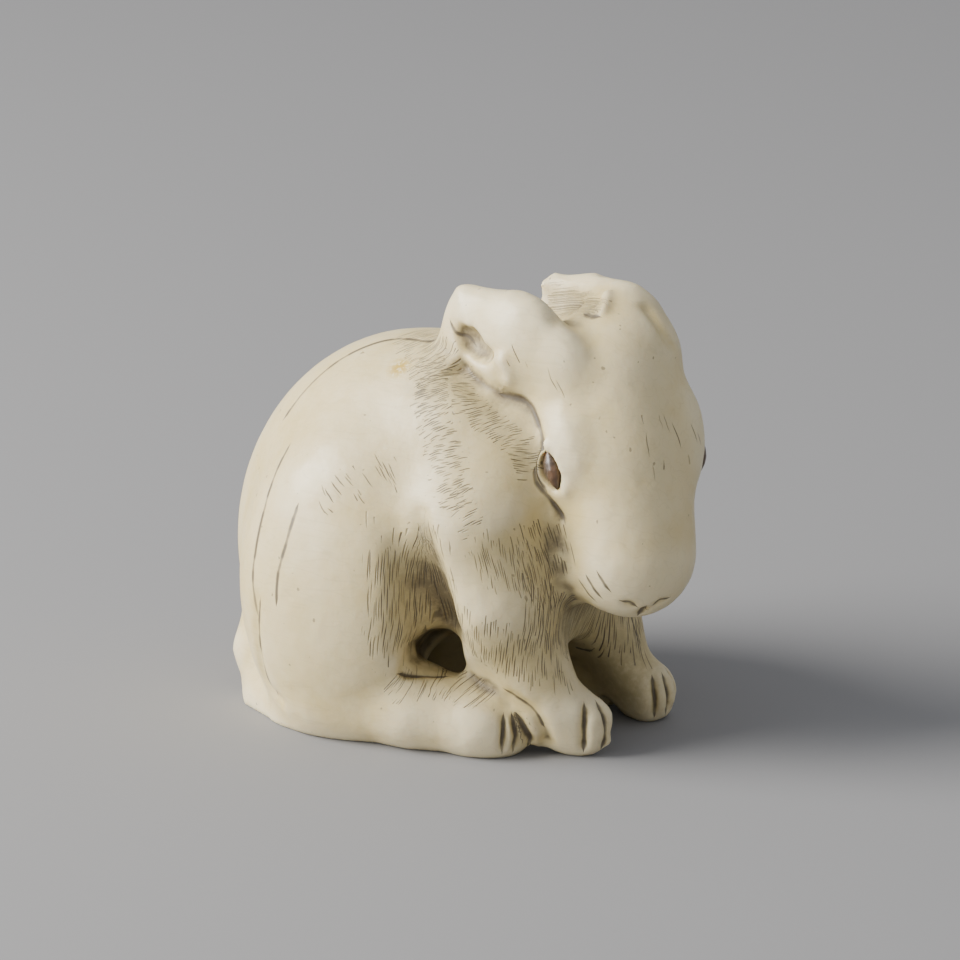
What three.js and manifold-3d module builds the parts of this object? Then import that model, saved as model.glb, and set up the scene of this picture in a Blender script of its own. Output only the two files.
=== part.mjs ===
// A netsuke: a crouching hare with its head hanging and turned to its right, its ears laid back along its
// neck and its hind feet under it. It is carved from one piece of ivory, with two eyes of dark horn let in
// and a cord channel through the underside of its rump.
// Lengths are in millimetres and angles in degrees. +Z is up and the hare's breast faces -Y, so its right
// side is -X. The forms are laid out from a point on the table under the middle of the trunk, and the
// finished carving is then moved to stand with the middle of its bounding box over the origin.

import * as THREE from "three";
import { mergeVertices } from "three/addons/utils/BufferGeometryUtils.js";
import Module from "manifold-3d";

// ---------------------------------------------------------------- driving dimensions

const CELL = 2.34; // edge of a lattice cube where the surface is sampled most closely
const RELAX_ROUNDS = 6;
const LATTICE = { low: [-13.5, -21, -6], high: [13, 13.5, 34.5] };
// The lattice is closest at the head, ears and paws, and opens out towards the sides, the middle of the
// height and the back.
const OPENING = { sides: 0.02, back: 0.04, middle: 0.25, middleHeight: 15, wave: 34 };

// The joints of a limb are [x, y, z, radius]. A form from TRUNK to EARS joins what is there with its blend.
const TRUNK = {
  rump: { centre: [0, 3.6, 12], radii: [11, 13.4, 14.8], turn: [16, 0, 0] },
  breast: { centre: [0, -3.6, 15.5], radii: [8.4, 6.6, 9.4] },
  neck: [[-0.5, -3, 20.3, 6.2], [0.6, -9, 21.5, 4.5]],
  blend: 4,
};
const HAUNCH = { centre: [-8.6, 4.5, 9.8], radii: [4.6, 6.9, 10.6], turn: [6, 0, 4], blend: 4 };
const TAIL = {
  joints: [[-3, 14.8, 6.6, 1.2], [-4.8, 13.6, 3.4, 2], [-5.8, 11.6, 0.4, 2.4], [-8, 8.2, 0.2, 2.2]],
  blend: 1.6,
};
const FORELEGS = {
  right: {
    leg: [[-5.8, -5, 16, 5], [-5.8, -6.6, 10.6, 3.9], [-4.9, -8.6, 5.8, 2.3], [-4.4, -9.6, 3.6, 2.2]],
    paw: [[-4.4, -9.6, 3, 2.4], [-3, -11.2, 1.9, 2.5]],
  },
  left: {
    leg: [[5.4, -4.6, 16, 5], [5.4, -6.2, 10.6, 3.6], [4.9, -8.6, 5.8, 2.1], [4.8, -9.6, 3.6, 2]],
    paw: [[4.8, -9.8, 3, 2.2], [5.3, -11.5, 1.8, 2.3]],
  },
  blend: 2,
  pawBlend: 0.8,
};
const HIND_FOOT = {
  joints: [[-9.2, 5.5, 2.4, 2.6], [-7.9, -1, 2.7, 3], [-6.9, -5.8, 2, 2.5], [-6.4, -7, 1.6, 2.2]],
  blend: 1,
};
const UNDERCUT = { centre: [0, -5, 0], radii: [4.4, 10, 6.6], blend: 1 };
const FLANK = {
  gap: [[-13, -4.6, 8, 1.7], [-9.5, -3.4, 7, 1.9], [-3, -1, 4.6, 2.4]],
  gapBlend: 0.8,
  crease: [[-10.7, -3.7, 8.6, 1.6], [-10.9, -2.8, 12.4, 1], [-12.4, -1.9, 17.2, 0.7]],
  creaseBlend: 1.2,
};

// In the head's own frame the brow faces -Y and the crown is up. The head turns to the hare's right, and its
// crown tips back.
const HEAD = {
  centre: [-0.15, -12.55, 20.9],
  yaw: -40,
  lean: 14,
  skull: { centre: [-0.1, 1, 4.4], radii: [4.9, 5.5, 5.5] },
  snout: [[0, -0.2, -1, 4.9], [0.2, -0.6, -7, 4.45]],
  orbit: { centre: [-4.1, -1.6, 0.8], radii: [1.3, 1.9, 3] },
  blend: 2.4,
};
const NOSE = {
  fork: [0, -3.1, -10.7],
  ends: [[-1.5, -3.3, -10.2], [1.5, -3.3, -10.2], [0, -1.8, -11.3]],
  width: 0.45,
  depth: 0.5,
};
// An eye slants forward as it goes down. The left one sits a little further back than the right one.
const EYE = {
  upper: [5.55, -1.75, 0.75],
  lower: [5.05, -1.9, -2.5],
  leftSetBack: 0.9,
  length: 3.3,
  width: 1.9,
  depth: 0.8,
  gap: 0.2,
};

// An ear is a blade, thinner across than it is high. The left one stands on a root of its own.
const EARS = {
  right: { root: [-3.3, -9.2, 27.2], tip: [-2.4, -2.1, 28.8], heights: [5.6, 7.4, 5.4], blend: 1.5 },
  left: { root: [3.7, -10, 28.9], tip: [3.5, -4.7, 29.5], heights: [5, 5, 4], blend: 0.8 },
  leftRoot: [[2.6, -12, 27.4, 2.8], [3.4, -10.9, 28.9, 2.5]],
  thinness: 0.56,
};
const EAR_SCOOPS = [
  { from: [-3.7, -1, 29], to: [-4.6, -4.8, 26.8], facing: [-1, 0, -0.1], width: 2.2, depth: 1.1 },
  { from: [2.6, -3.4, 30.1], to: [2, -9.6, 29.7], facing: [-1, 0, 0.5], width: 2.2, depth: 0.8 },
];

// Grooves between the toes fan out round the middle of a paw, at bearings from straight ahead.
const TOES = [
  { centre: [-3.2, -11], reach: 2.6, top: 3.9, bearings: [-50, -14, 22, 58] },
  { centre: [5.2, -11.3], reach: 2.4, top: 3.6, bearings: [-36, -4, 28] },
  { centre: [-6.4, -7], reach: 2.3, top: 3.4, bearings: [-40, -4, 32] },
  { centre: [6.4, -7], reach: 2.3, top: 3.4, bearings: [-32, 4, 40] },
];
const TOE_GROOVE = { width: 0.5, depth: 0.75 };
const CORD = { bore: 3.6, mouths: [[-4.2, 7.2], [3.6, 8]], rise: 5.4 };

// ---------------------------------------------------------------- forms

// A form is a function of a point that is negative inside, and close to the distance from its surface.

function placeMatrix(centre, turn = [0, 0, 0]) {
  const [rx, ry, rz] = turn.map(THREE.MathUtils.degToRad);
  return new THREE.Matrix4()
    .makeRotationFromEuler(new THREE.Euler(rx, ry, rz, "ZYX"))
    .setPosition(...centre);
}

// The frame at a point whose Y axis aims at another point, with Z as near to up as that allows.
function aimMatrix(from, to, up) {
  const y = new THREE.Vector3(...to).sub(new THREE.Vector3(...from)).normalize();
  const x = new THREE.Vector3().crossVectors(y, new THREE.Vector3(...up)).normalize();
  const z = new THREE.Vector3().crossVectors(x, y);
  return new THREE.Matrix4().makeBasis(x, y, z).setPosition(...from);
}

function inFrame(matrix, form) {
  const e = matrix.clone().invert().elements;
  return (x, y, z) =>
    form(
      e[0] * x + e[4] * y + e[8] * z + e[12],
      e[1] * x + e[5] * y + e[9] * z + e[13],
      e[2] * x + e[6] * y + e[10] * z + e[14],
    );
}

function ellipsoid({ centre, radii: [a, b, c], turn }) {
  return inFrame(placeMatrix(centre, turn), (x, y, z) => {
    const near = Math.hypot(x / a, y / b, z / c);
    const steep = Math.hypot(x / (a * a), y / (b * b), z / (c * c));
    return steep < 1e-9 ? -Math.min(a, b, c) : (near * (near - 1)) / steep;
  });
}

function softMin(p, q, soft) {
  const h = Math.max(soft - Math.abs(p - q), 0) / soft;
  return Math.min(p, q) - (h * h * soft) / 4;
}

// A limb runs through its joints, each [x, y, z, radius], and swells or thins evenly between them.
function limb(joints, soft = 0.5) {
  const spans = joints.slice(1).map((end, i) => {
    const from = joints[i];
    const along = [0, 1, 2].map((k) => end[k] - from[k]);
    return { from, along, grow: end[3] - from[3], square: along.reduce((s, v) => s + v * v, 0) };
  });
  return (x, y, z) => {
    let best = Infinity;
    for (const { from, along, grow, square } of spans) {
      const dx = x - from[0];
      const dy = y - from[1];
      const dz = z - from[2];
      const t = Math.min(Math.max((dx * along[0] + dy * along[1] + dz * along[2]) / square, 0), 1);
      const d = Math.hypot(dx - t * along[0], dy - t * along[1], dz - t * along[2]);
      best = softMin(best, d - from[3] - t * grow, soft);
    }
    return best;
  };
}

// A carving adds forms to one another and cuts others away, each with the softness of its edge.
class Carving {
  constructor() {
    this.strokes = [];
  }
  add(form, soft = 1) {
    this.strokes.push({ form, soft, cut: false });
    return this;
  }
  cut(form, soft = 0.5) {
    this.strokes.push({ form, soft, cut: true });
    return this;
  }
  field() {
    const strokes = this.strokes;
    return (x, y, z) => {
      let d = 1e3;
      for (const { form, soft, cut } of strokes) {
        const f = form(x, y, z);
        d = cut ? -softMin(-d, f, soft) : softMin(d, f, soft);
      }
      return d;
    };
  }
}

const mirrored = (form) => (x, y, z) => form(-x, y, z);
const bothSides = [(form) => form, mirrored];

const HEAD_PLACE = placeMatrix(HEAD.centre, [0, 0, HEAD.yaw]).multiply(
  placeMatrix([0, 0, 0], [-HEAD.lean, 0, 0]),
);

// ---------------------------------------------------------------- the hare

function addTrunk(hare) {
  hare
    .add(ellipsoid(TRUNK.rump))
    .add(ellipsoid(TRUNK.breast), TRUNK.blend)
    .add(limb(TRUNK.neck), TRUNK.blend);
}

function addHaunches(hare) {
  for (const side of bothSides) hare.add(side(ellipsoid(HAUNCH)), HAUNCH.blend);
}

// The tail is tucked down against the right of the rump.
function addTail(hare) {
  hare.add(limb(TAIL.joints, 1), TAIL.blend);
}

function addForelegs(hare) {
  for (const { leg, paw } of [FORELEGS.right, FORELEGS.left])
    hare.add(limb(leg, 2), FORELEGS.blend).add(limb(paw), FORELEGS.pawBlend);
}

function cutHollows(hare) {
  hare.cut(ellipsoid(UNDERCUT), UNDERCUT.blend);
  for (const side of bothSides) {
    hare.cut(side(limb(FLANK.gap)), FLANK.gapBlend);
    hare.cut(side(limb(FLANK.crease)), FLANK.creaseBlend);
  }
}

function addHindFeet(hare) {
  for (const side of bothSides) hare.add(side(limb(HIND_FOOT.joints, 0.8)), HIND_FOOT.blend);
}

function addHead(hare) {
  const head = new Carving().add(ellipsoid(HEAD.skull)).add(limb(HEAD.snout), 3);
  for (const side of bothSides) head.add(side(ellipsoid(HEAD.orbit)), 1.8);
  hare.add(inFrame(HEAD_PLACE, head.field()), HEAD.blend);
}

// An ear widens from its root and narrows to its tip.
function earForm({ root, tip, heights }) {
  const place = aimMatrix(root, tip, [0, 0, 1]).scale(new THREE.Vector3(EARS.thinness, 1, 1));
  const length = Math.hypot(...tip.map((v, k) => v - root[k]));
  const joints = [0, 0.4, 1].map((part, n) => [0, part * length, 0, heights[n] / 2]);
  return inFrame(place, limb(joints, 1));
}

function addEars(hare) {
  hare
    .add(earForm(EARS.right), EARS.right.blend)
    .add(limb(EARS.leftRoot), 2)
    .add(earForm(EARS.left), EARS.left.blend);
}

function carveHare() {
  const hare = new Carving();
  addTrunk(hare);
  addHaunches(hare);
  addTail(hare);
  addForelegs(hare);
  cutHollows(hare);
  addHindFeet(hare);
  addHead(hare);
  addEars(hare);
  return hare.field();
}
// ---------------------------------------------------------------- from a field to a surface

function openOut([x, y, z]) {
  const turn = (2 * Math.PI) / OPENING.wave;
  return [
    x + OPENING.sides * x * Math.abs(x),
    y + OPENING.back * Math.max(y, 0) ** 2,
    z + (OPENING.middle / turn) * Math.sin(turn * (z - OPENING.middleHeight)),
  ];
}

// The lattice is body-centred: cube corners and cube centres, each centre joined to the next one across a
// cube face, so four tetrahedra ring each such pair. A surface drawn through them is always closed.
function surfaceOf(field, low, high, cell) {
  const [nx, ny, nz] = low.map((v, k) => Math.ceil((high[k] - v) / cell) + 1);
  const points = 2 * nx * ny * nz;
  const indexOf = (half, i, j, k) => ((half * nx + i) * ny + j) * nz + k;
  const place = new Float64Array(points * 3);
  const value = new Float64Array(points);
  for (let half = 0; half < 2; half++)
    for (let i = 0; i < nx; i++)
      for (let j = 0; j < ny; j++)
        for (let k = 0; k < nz; k++) {
          const n = indexOf(half, i, j, k);
          const at = openOut([i, j, k].map((v, axis) => low[axis] + (v + half / 2) * cell));
          place.set(at, 3 * n);
          value[n] = field(...at);
        }

  const vertices = [];
  const triangles = [];
  const onEdge = new Map();
  const pointAt = (n) => new THREE.Vector3().fromArray(place, 3 * n);
  const crossing = (a, b) => {
    const key = a < b ? a * points + b : b * points + a;
    if (!onEdge.has(key)) {
      const t = Math.min(Math.max(value[a] / (value[a] - value[b]), 0.1), 0.9);
      onEdge.set(key, vertices.length / 3);
      for (let axis = 0; axis < 3; axis++)
        vertices.push(place[3 * a + axis] * (1 - t) + place[3 * b + axis] * t);
    }
    return onEdge.get(key);
  };
  const drawThrough = (corners) => {
    const inside = corners.filter((n) => value[n] < 0);
    const outside = corners.filter((n) => value[n] >= 0);
    if (!inside.length || !outside.length) return;
    const edges = inside.flatMap((i) => outside.map((o) => [i, o]));
    const ring = edges.length === 4 ? [edges[0], edges[1], edges[3], edges[2]] : edges;
    const [a, b, c] = ring.map(([i, o]) => pointAt(i).add(pointAt(o)));
    const outward = pointAt(outside[0]).sub(pointAt(inside[0]));
    if (b.sub(a).cross(c.sub(a)).dot(outward) < 0) ring.reverse();
    const drawn = ring.map(([i, o]) => crossing(i, o));
    for (let n = 1; n + 1 < drawn.length; n++) triangles.push(drawn[0], drawn[n], drawn[n + 1]);
  };

  const axes = [[1, 0, 0], [0, 1, 0], [0, 0, 1]];
  for (let i = 0; i < nx - 1; i++)
    for (let j = 0; j < ny - 1; j++)
      for (let k = 0; k < nz - 1; k++)
        axes.forEach((step, axis) => {
          const start = [i, j, k].map((v, n) => v + step[n]);
          const [u, v] = [axes[(axis + 1) % 3], axes[(axis + 2) % 3]];
          const corner = (p, q) => indexOf(0, ...start.map((s, n) => s + p * u[n] + q * v[n]));
          const ring = [corner(0, 0), corner(1, 0), corner(1, 1), corner(0, 1)];
          const centres = [indexOf(1, i, j, k), indexOf(1, ...start)];
          ring.forEach((n, r) => drawThrough([...centres, n, ring[(r + 1) % 4]]));
        });
  return { vertices, triangles };
}

function slopeOf(field, x, y, z) {
  const d = 0.02;
  return [
    (field(x + d, y, z) - field(x - d, y, z)) / (2 * d),
    (field(x, y + d, z) - field(x, y - d, z)) / (2 * d),
    (field(x, y, z + d) - field(x, y, z - d)) / (2 * d),
  ];
}

function settle(field, point) {
  for (let step = 0; step < 3; step++) {
    const slope = slopeOf(field, ...point);
    const steep = slope.reduce((s, v) => s + v * v, 0);
    const miss = THREE.MathUtils.clamp(field(...point), -0.6, 0.6);
    for (let axis = 0; axis < 3; axis++) point[axis] -= (miss * slope[axis]) / Math.max(steep, 0.1);
  }
  return point;
}

// Evens out the triangles: each vertex moves to the middle of its neighbours, then back onto the surface.
function relax(field, { vertices, triangles }, rounds) {
  const neighbours = Array.from({ length: vertices.length / 3 }, () => new Set());
  triangles.forEach((n, t) => {
    const first = t - (t % 3);
    for (const other of triangles.slice(first, first + 3)) if (other !== n) neighbours[n].add(other);
  });
  for (let round = 0; round < rounds; round++) {
    const before = vertices.slice();
    neighbours.forEach((near, n) => {
      const ring = [...near];
      const sum = (axis) => ring.reduce((total, m) => total + before[3 * m + axis], 0);
      const middle = [0, 1, 2].map((axis) => sum(axis) / ring.length);
      settle(field, middle).forEach((v, axis) => (vertices[3 * n + axis] = v));
    });
  }
  return { vertices, triangles };
}

// ---------------------------------------------------------------- solids

const wasm = await Module();
wasm.setup();

function solidOf({ vertices, triangles }) {
  const vertProperties = new Float32Array(vertices);
  const triVerts = new Uint32Array(triangles);
  return new wasm.Manifold(new wasm.Mesh({ numProp: 3, vertProperties, triVerts }));
}

function solidOfGeometry(geometry) {
  const bare = geometry.clone();
  for (const name of ["normal", "uv"]) bare.deleteAttribute(name);
  const merged = mergeVertices(bare, 1e-4);
  return solidOf({ vertices: merged.attributes.position.array, triangles: merged.index.array });
}

function geometryOf(solid) {
  const { vertProperties, triVerts } = solid.getMesh();
  return new THREE.BufferGeometry()
    .setAttribute("position", new THREE.BufferAttribute(vertProperties, 3))
    .setIndex(new THREE.BufferAttribute(triVerts, 1));
}

// A leaf lies along Y, thins to a point at each end, and is width across in X and depth in Z.
function leafGeometry(length, width, depth, sides, steps) {
  const leaf = new THREE.SphereGeometry(1, sides, steps);
  const at = leaf.attributes.position;
  for (let n = 0; n < at.count; n++) {
    const taper = Math.sqrt(Math.max(1 - at.getY(n) ** 2, 0));
    at.setX(n, (at.getX(n) * taper * width) / 2);
    at.setY(n, (at.getY(n) * length) / 2);
    at.setZ(n, (at.getZ(n) * taper * depth) / 2);
  }
  return leaf;
}

// A leaf-shaped stroke of the chisel between two points, cut into the side that faces along facing.
function strokeSolid(from, to, facing, width, depth) {
  const length = Math.hypot(...to.map((v, k) => v - from[k]));
  const leaf = leafGeometry(length, width, 2 * depth, 8, 6).translate(0, length / 2, 0);
  return solidOfGeometry(leaf.applyMatrix4(aimMatrix(from, to, facing)));
}

// ---------------------------------------------------------------- cuts

function toeCuts({ centre: [x, y], reach, top, bearings }) {
  return bearings.map(THREE.MathUtils.degToRad).map((bearing) => {
    const out = [Math.sin(bearing), -Math.cos(bearing)];
    const at = (distance, z) => [x + out[0] * distance, y + out[1] * distance, z];
    const [upper, lower] = [at(reach - 0.7, top), at(reach + 0.1, -0.9)];
    return strokeSolid(upper, lower, [...out, 0.3], TOE_GROOVE.width, TOE_GROOVE.depth);
  });
}

function earCuts() {
  return EAR_SCOOPS.map(({ from, to, facing, width, depth }) => strokeSolid(from, to, facing, width, depth));
}

// The nose is a Y of three strokes.
function noseCuts() {
  const down = [0, -0.7, -0.7];
  return NOSE.ends.map((end) =>
    strokeSolid(NOSE.fork, end, down, NOSE.width, NOSE.depth).transform(HEAD_PLACE.elements),
  );
}

function eyeGeometry(side, spare) {
  const back = side > 0 ? EYE.leftSetBack : 0;
  const [upper, lower] = [EYE.upper, EYE.lower].map(([x, y, z]) => [side * x, y + back, z]);
  const middle = upper.map((v, k) => (v + lower[k]) / 2);
  const place = aimMatrix(middle, lower, [side, 0, 0]);
  const [length, width, depth] = [EYE.length, EYE.width, 2 * EYE.depth].map((v) => v - 2 * spare);
  return leafGeometry(length, width, depth, 10, 8).applyMatrix4(place).applyMatrix4(HEAD_PLACE);
}

function cordChannel() {
  const [left, right] = CORD.mouths;
  const path = new THREE.CatmullRomCurve3([
    new THREE.Vector3(...left, -1),
    new THREE.Vector3(...left, 1),
    new THREE.Vector3((left[0] + right[0]) / 2, (left[1] + right[1]) / 2, CORD.rise),
    new THREE.Vector3(...right, 1),
    new THREE.Vector3(...right, -1),
  ]);
  const bore = new THREE.Shape().absarc(0, 0, CORD.bore / 2, 0, 2 * Math.PI);
  return solidOfGeometry(
    new THREE.ExtrudeGeometry(bore, { steps: 14, curveSegments: 14, extrudePath: path, bevelEnabled: false }),
  );
}

// ---------------------------------------------------------------- assembly

const SIDES = { right_eye: -1, left_eye: 1 };

function carvedBody() {
  const field = carveHare();
  const surface = relax(field, surfaceOf(field, LATTICE.low, LATTICE.high, CELL), RELAX_ROUNDS);
  const table = new THREE.BoxGeometry(60, 60, 10).translate(0, 0, -5);
  const cuts = [
    solidOfGeometry(table),
    cordChannel(),
    ...earCuts(),
    ...noseCuts(),
    ...TOES.flatMap(toeCuts),
    ...Object.values(SIDES).map((side) => solidOfGeometry(eyeGeometry(side, 0))),
  ];
  return geometryOf(cuts.reduce((body, cut) => body.subtract(cut), solidOf(surface)));
}

function namedMesh(name, geometry, color, roughness) {
  const mesh = new THREE.Mesh(geometry, new THREE.MeshStandardMaterial({ color, roughness, metalness: 0 }));
  mesh.name = name;
  return mesh;
}

const netsuke = new THREE.Group();
netsuke.add(namedMesh("carved_hare", carvedBody(), 0xe6decb, 0.35));
for (const [name, side] of Object.entries(SIDES))
  netsuke.add(namedMesh(name, eyeGeometry(side, EYE.gap), 0x6e4f38, 0.2));

const box = new THREE.Box3().setFromObject(netsuke);
netsuke.position.set(-(box.min.x + box.max.x) / 2, -(box.min.y + box.max.y) / 2, -box.min.z);

export default netsuke;
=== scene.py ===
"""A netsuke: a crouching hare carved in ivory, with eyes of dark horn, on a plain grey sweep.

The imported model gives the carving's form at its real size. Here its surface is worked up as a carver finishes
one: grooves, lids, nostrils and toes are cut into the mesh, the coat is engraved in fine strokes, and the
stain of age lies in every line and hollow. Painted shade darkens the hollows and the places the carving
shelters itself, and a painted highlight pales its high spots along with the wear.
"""

import math
import bpy
import numpy as np
from bpy.props import FloatProperty, FloatVectorProperty, PointerProperty
from bpy.types import Operator, Panel, PropertyGroup
from mathutils import Matrix, Vector
from mathutils.bvhtree import BVHTree


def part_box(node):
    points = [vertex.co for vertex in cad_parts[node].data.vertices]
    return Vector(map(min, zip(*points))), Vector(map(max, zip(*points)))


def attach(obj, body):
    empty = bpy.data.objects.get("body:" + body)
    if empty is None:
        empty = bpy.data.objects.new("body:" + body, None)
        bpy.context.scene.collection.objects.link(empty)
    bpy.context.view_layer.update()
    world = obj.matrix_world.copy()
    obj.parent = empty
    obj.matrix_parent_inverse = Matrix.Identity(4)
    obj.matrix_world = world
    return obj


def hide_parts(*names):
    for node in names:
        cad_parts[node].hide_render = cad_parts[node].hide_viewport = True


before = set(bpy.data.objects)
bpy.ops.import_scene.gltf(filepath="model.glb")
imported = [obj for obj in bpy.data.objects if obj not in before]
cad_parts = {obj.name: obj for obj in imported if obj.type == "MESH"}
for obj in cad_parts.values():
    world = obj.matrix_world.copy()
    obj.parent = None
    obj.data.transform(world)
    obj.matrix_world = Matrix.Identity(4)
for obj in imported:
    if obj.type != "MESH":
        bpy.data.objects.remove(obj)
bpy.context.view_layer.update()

bl_info = {
    "name": "Netsuke Hare",
    "version": (1, 0, 0),
    "blender": (4, 5, 0),
    "location": "View3D > Sidebar > Netsuke",
    "description": "Finishes a carved ivory hare, its horn eyes and the stage it stands on",
    "category": "Object",
}

MM = 0.001  # guides and tool sizes are in millimetres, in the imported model's own frame
LEVEL = (1, 1, 0)  # takes the height out of a direction

# The head's own frame: the brow faces -Y and the crown is up.
HEAD_CENTRE = (-0.15, -11.78, 20.9)
HEAD_YAW = math.radians(-40)
HEAD_LEAN = math.radians(14)
HEAD = (
    Matrix.Translation(HEAD_CENTRE)
    @ Matrix.Rotation(HEAD_YAW, 4, "Z")
    @ Matrix.Rotation(-HEAD_LEAN, 4, "X")
)

# Where the camera looks, and the way from there to the camera.
LOOK_AT = Vector((0.67, 0.05, 16.55)) * MM
VIEW_FROM = Vector((-0.802, -0.5208, 0.2924)).normalized()


def in_head(*points):
    """Points given in the head's own frame, moved to the carving's."""
    return [tuple(HEAD @ Vector(point)) for point in points]


def mirrored(points):
    return [(-x, y, z) for x, y, z in points]


# ---- where the carver's tools went

# Hair is engraved to either side of a guide that runs across it. Each entry is the guide's points, how far
# the hair reaches to either side, its slant in degrees, how short it is cut, how dense it is, and its map.
HAIR = {
    "nape": (
        [(-0.6, 4.1, 26.8), (-3.4, 1.5, 26.5), (-5.1, -0.2, 25.7), (-6.4, -1.3, 24.6)], 2.4, -4, 1.2, 0.9, 0,
    ),
    "neck": (
        [(-4.6, 0.6, 26.2), (-6.6, -0.9, 23.9), (-7.9, -2.5, 22.3), (-8.9, -3.5, 20.6), (-9.7, -4.6, 18.9)],
        1.7, 0, 2.3, 0.9, 1,
    ),
    "neck front": ([(-9.3, -4.9, 19.4), (-9.9, -5.8, 17.8), (-10.3, -6.4, 16.4)], 1.2, -18, 2.0, 0.6, 2),
    "cheek": (
        [(-5.2, -1.9, 25.6), (-6.2, -3.4, 24.3), (-6.2, -5.6, 23.2), (-6.1, -7.2, 22.2), (-6.3, -8.2, 20.9)],
        1.4, 26, 1.9, 0.95, 0,
    ),
    "far brow": ([(-3.2, -16.0, 22.6), (-1.6, -16.6, 22.6), (0.4, -16.2, 22.6)], 3.0, 0, 1.3, 0.13, 1),
    "far ear": ([(3.2, -5.2, 29.6), (1.4, -7.4, 30.4), (0.2, -9.2, 30.4)], 1.3, 74, 0.5, 1.0, 2),
}
# Hair that hangs straight down, round a guide that runs across it.
HANGING_HAIR = {
    "breast": (
        [(-9.9, -6.8, 15.2), (-8.9, -8.2, 14.5), (-7.2, -9.6, 13.4), (-6.0, -10.1, 12.4)],
        2.4, -12, 1.2, 0.95, 2,
    ),
    "jaw": ([(-7.0, -9.2, 15.4), (-6.1, -9.8, 15.4), (-5.6, -10.3, 15.2)], 2.0, -14, 1.2, 0.8, 0),
    "under the chin": (
        [
            (-7.6, -9.6, 11.0), (-5.4, -10.2, 9.8), (-2.6, -9.8, 8.8),
            (0.0, -8.9, 8.2), (2.2, -8.8, 7.4), (4.5, -10.2, 6.3),
        ],
        3.0, 5, 0.8, 1.0, 1,
    ),
    "foreleg": (
        [(-10.4, -4.2, 10.0), (-10.0, -6.0, 8.8), (-9.1, -7.9, 8.0), (-7.9, -9.1, 7.6), (-5.6, -10.1, 7.2)],
        2.6, 4, 1.0, 1.0, 0,
    ),
    "flank": (
        [(-11.6, 0.4, 11.4), (-11.0, -1.0, 11.4), (-10.2, -2.4, 12.0), (-10.1, -3.9, 12.4)],
        6.0, 3, 1.0, 1.0, 1,
    ),
    "hind foot": (
        [(-10.3, -0.7, 4.6), (-9.0, -1.9, 4.9), (-8.1, -3.4, 4.9), (-7.6, -5.4, 4.3)],
        1.3, 40, 1.3, 0.7, 2,
    ),
    "haunch": ([(-12.2, 4.4, 18.0), (-11.4, 2.4, 19.2), (-10.2, 0.2, 19.8)], 1.6, -34, 1.8, 0.3, 2),
    "temple": ([(-4.9, -6.9, 28.4), (-4.9, -8.2, 27.4), (-4.8, -9.2, 26.0)], 1.5, -30, 1.4, 0.16, 1),
}
FAR_SIDE_HAIR = ("foreleg", "flank", "hind foot", "breast")
HAIR_MAPS = 3
HAIR_LAYERS = (  # spacing, length and width of each map's strokes in millimetres, and a seed
    (0.165, 2.6, 0.072, 1.0),
    (0.165, 2.8, 0.075, 2.0),
    (0.16, 2.6, 0.072, 3.0),
)

# A hollow is pressed straight in along its guide. Each entry is the guide's points, then how deep the hollow
# is and how wide to its left and to its right, each at the guide's start and at its end.
HOLLOWS = {
    "flank": (
        [
            (-11.2, -2.6, 17.6), (-10.9, -3.0, 15.6), (-10.4, -3.0, 13.4),
            (-10.1, -2.9, 11.4), (-9.6, -2.8, 9.4),
        ],
        (0.25, 2.0), (0.5, 2.0), (0.7, 2.1),
    ),
    "paw": (
        [(-5.2, -11.8, 4.0), (-3.4, -12.6, 2.6), (-2.8, -12.8, 1.4)],
        (-0.5, -0.6), (1.5, 1.5), (1.5, 1.5),
    ),
}

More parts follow.
